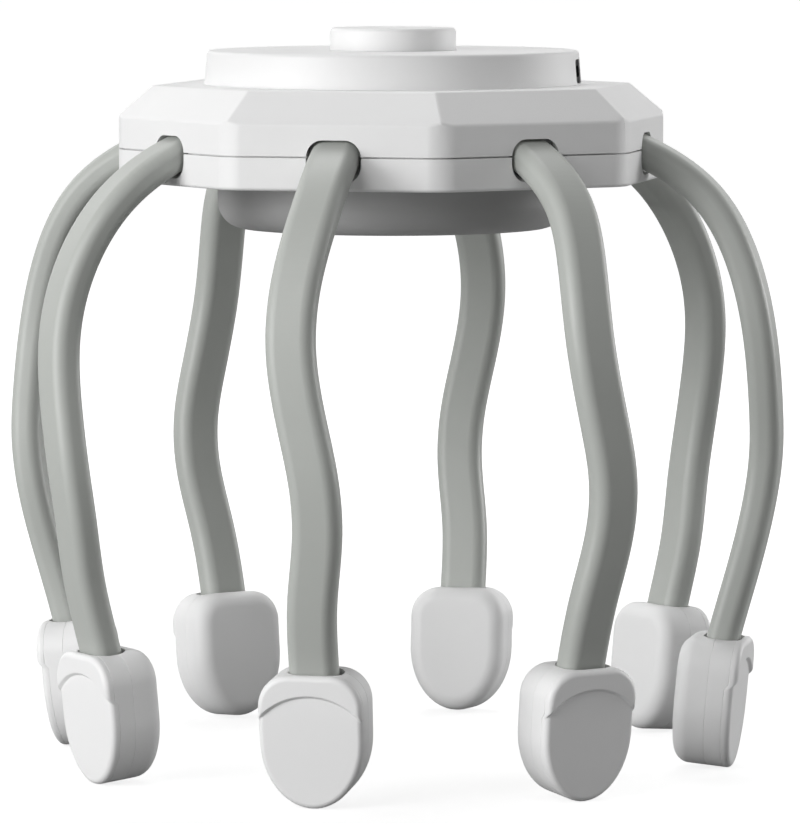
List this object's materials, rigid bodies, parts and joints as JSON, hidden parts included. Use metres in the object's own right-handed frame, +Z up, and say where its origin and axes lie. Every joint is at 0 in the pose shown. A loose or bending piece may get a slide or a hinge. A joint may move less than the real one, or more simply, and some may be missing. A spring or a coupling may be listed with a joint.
{
  "type": "electric scalp massager",
  "caption": "Free-standing electric scalp massager: octagonal hub with a push button on a round drum, and a ring of curved flexible arms ending in vibrating pods.",
  "frame": {"origin": "on the hub's vertical axis, at the height of the pods' lowest points, which stand on the surface", "axes": "+Z up along the hub's axis through the button; arm_1 points along -Y and arm_3 along +X; the charging socket is on the +X side"},
  "size_m": [0.1792, 0.1792, 0.1669],
  "materials": {
    "white_shell": "fine matt grain",
    "white_pad": "soft matt, smooth",
    "grey_bowl": "matt",
    "grey_rubber": "silky matt",
    "black_plastic": "satin",
    "green_board": "solder resist",
    "silver_cell": "foil",
    "zinc_steel": "zinc plated",
    "weight_metal": "sintered",
    "lead_insulation": "satin"
  },
  "bodies": {
    "hub": {"upper_housing": "white_shell", "lower_housing": "white_shell", "crown_pad": "grey_bowl", "control_drum": "white_shell", "main_board": "green_board", "tact_switch": "black_plastic", "charging_socket": "black_plastic", "battery": "silver_cell", "housing_screws": "zinc_steel", "wiring": "lead_insulation"},
    "button": {"power_button": "white_shell", "switch_plunger": "black_plastic"},
    "arm_1_and_pod": {"arm_1": "grey_rubber", "pod_case_1": "white_shell", "scalp_pad_1": "white_pad", "pod_cover_1": "white_shell", "pod_motor_1": "zinc_steel"},
    "weight_1": {"motor_weight_1": "weight_metal"},
    "arm_2_and_pod": {"arm_2": "grey_rubber", "pod_case_2": "white_shell", "scalp_pad_2": "white_pad", "pod_cover_2": "white_shell", "pod_motor_2": "zinc_steel"},
    "weight_2": {"motor_weight_2": "weight_metal"},
    "arm_3_and_pod": {"arm_3": "grey_rubber", "pod_case_3": "white_shell", "scalp_pad_3": "white_pad", "pod_cover_3": "white_shell", "pod_motor_3": "zinc_steel"},
    "weight_3": {"motor_weight_3": "weight_metal"},
    "arm_4_and_pod": {"arm_4": "grey_rubber", "pod_case_4": "white_shell", "scalp_pad_4": "white_pad", "pod_cover_4": "white_shell", "pod_motor_4": "zinc_steel"},
    "weight_4": {"motor_weight_4": "weight_metal"},
    "arm_5_and_pod": {"arm_5": "grey_rubber", "pod_case_5": "white_shell", "scalp_pad_5": "white_pad", "pod_cover_5": "white_shell", "pod_motor_5": "zinc_steel"},
    "weight_5": {"motor_weight_5": "weight_metal"},
    "arm_6_and_pod": {"arm_6": "grey_rubber", "pod_case_6": "white_shell", "scalp_pad_6": "white_pad", "pod_cover_6": "white_shell", "pod_motor_6": "zinc_steel"},
    "weight_6": {"motor_weight_6": "weight_metal"},
    "arm_7_and_pod": {"arm_7": "grey_rubber", "pod_case_7": "white_shell", "scalp_pad_7": "white_pad", "pod_cover_7": "white_shell", "pod_motor_7": "zinc_steel"},
    "weight_7": {"motor_weight_7": "weight_metal"},
    "arm_8_and_pod": {"arm_8": "grey_rubber", "pod_case_8": "white_shell", "scalp_pad_8": "white_pad", "pod_cover_8": "white_shell", "pod_motor_8": "zinc_steel"},
    "weight_8": {"motor_weight_8": "weight_metal"}
  },
  "joints": [
    {"name": "button_press", "type": "slide", "parent": "hub", "child": "button", "axis": [0, 0, -1], "range_m": [0, 0.0008], "stiffness_N_per_m": 2500},
    {"name": "arm_1_flex", "type": "hinge", "parent": "hub", "child": "arm_1_and_pod", "pos_m": [0, -0.0576, 0.13942], "axis": [-1, 0, 0], "range_deg": [-3, 12], "stiffness_Nm_per_rad": 2.5},
    {"name": "weight_1_spin", "type": "hinge", "parent": "arm_1_and_pod", "child": "weight_1", "pos_m": [0, -0.07392, 0.02044], "axis": [0, 0.0924, -0.9957], "continuous": true},
    {"name": "arm_2_flex", "type": "hinge", "parent": "hub", "child": "arm_2_and_pod", "pos_m": [0.04073, -0.04073, 0.13942], "axis": [-0.7071, -0.7071, 0], "range_deg": [-3, 12], "stiffness_Nm_per_rad": 2.5},
    {"name": "weight_2_spin", "type": "hinge", "parent": "arm_2_and_pod", "child": "weight_2", "pos_m": [0.05227, -0.05227, 0.02044], "axis": [-0.0653, 0.0653, -0.9957], "continuous": true},
    {"name": "arm_3_flex", "type": "hinge", "parent": "hub", "child": "arm_3_and_pod", "pos_m": [0.0576, 0, 0.13942], "axis": [0, -1, 0], "range_deg": [-3, 12], "stiffness_Nm_per_rad": 2.5},
    {"name": "weight_3_spin", "type": "hinge", "parent": "arm_3_and_pod", "child": "weight_3", "pos_m": [0.07392, 0, 0.02044], "axis": [-0.0924, 0, -0.9957], "continuous": true},
    {"name": "arm_4_flex", "type": "hinge", "parent": "hub", "child": "arm_4_and_pod", "pos_m": [0.04073, 0.04073, 0.13942], "axis": [0.7071, -0.7071, 0], "range_deg": [-3, 12], "stiffness_Nm_per_rad": 2.5},
    {"name": "weight_4_spin", "type": "hinge", "parent": "arm_4_and_pod", "child": "weight_4", "pos_m": [0.05227, 0.05227, 0.02044], "axis": [-0.0653, -0.0653, -0.9957], "continuous": true},
    {"name": "arm_5_flex", "type": "hinge", "parent": "hub", "child": "arm_5_and_pod", "pos_m": [0, 0.0576, 0.13942], "axis": [1, 0, 0], "range_deg": [-3, 12], "stiffness_Nm_per_rad": 2.5},
    {"name": "weight_5_spin", "type": "hinge", "parent": "arm_5_and_pod", "child": "weight_5", "pos_m": [0, 0.07392, 0.02044], "axis": [0, -0.0924, -0.9957], "continuous": true},
    {"name": "arm_6_flex", "type": "hinge", "parent": "hub", "child": "arm_6_and_pod", "pos_m": [-0.04073, 0.04073, 0.13942], "axis": [0.7071, 0.7071, 0], "range_deg": [-3, 12], "stiffness_Nm_per_rad": 2.5},
    {"name": "weight_6_spin", "type": "hinge", "parent": "arm_6_and_pod", "child": "weight_6", "pos_m": [-0.05227, 0.05227, 0.02044], "axis": [0.0653, -0.0653, -0.9957], "continuous": true},
    {"name": "arm_7_flex", "type": "hinge", "parent": "hub", "child": "arm_7_and_pod", "pos_m": [-0.0576, 0, 0.13942], "axis": [0, 1, 0], "range_deg": [-3, 12], "stiffness_Nm_per_rad": 2.5},
    {"name": "weight_7_spin", "type": "hinge", "parent": "arm_7_and_pod", "child": "weight_7", "pos_m": [-0.07392, 0, 0.02044], "axis": [0.0924, 0, -0.9957], "continuous": true},
    {"name": "arm_8_flex", "type": "hinge", "parent": "hub", "child": "arm_8_and_pod", "pos_m": [-0.04073, -0.04073, 0.13942], "axis": [-0.7071, 0.7071, 0], "range_deg": [-3, 12], "stiffness_Nm_per_rad": 2.5},
    {"name": "weight_8_spin", "type": "hinge", "parent": "arm_8_and_pod", "child": "weight_8", "pos_m": [-0.05227, -0.05227, 0.02044], "axis": [0.0653, 0.0653, -0.9957], "continuous": true}
  ]
}
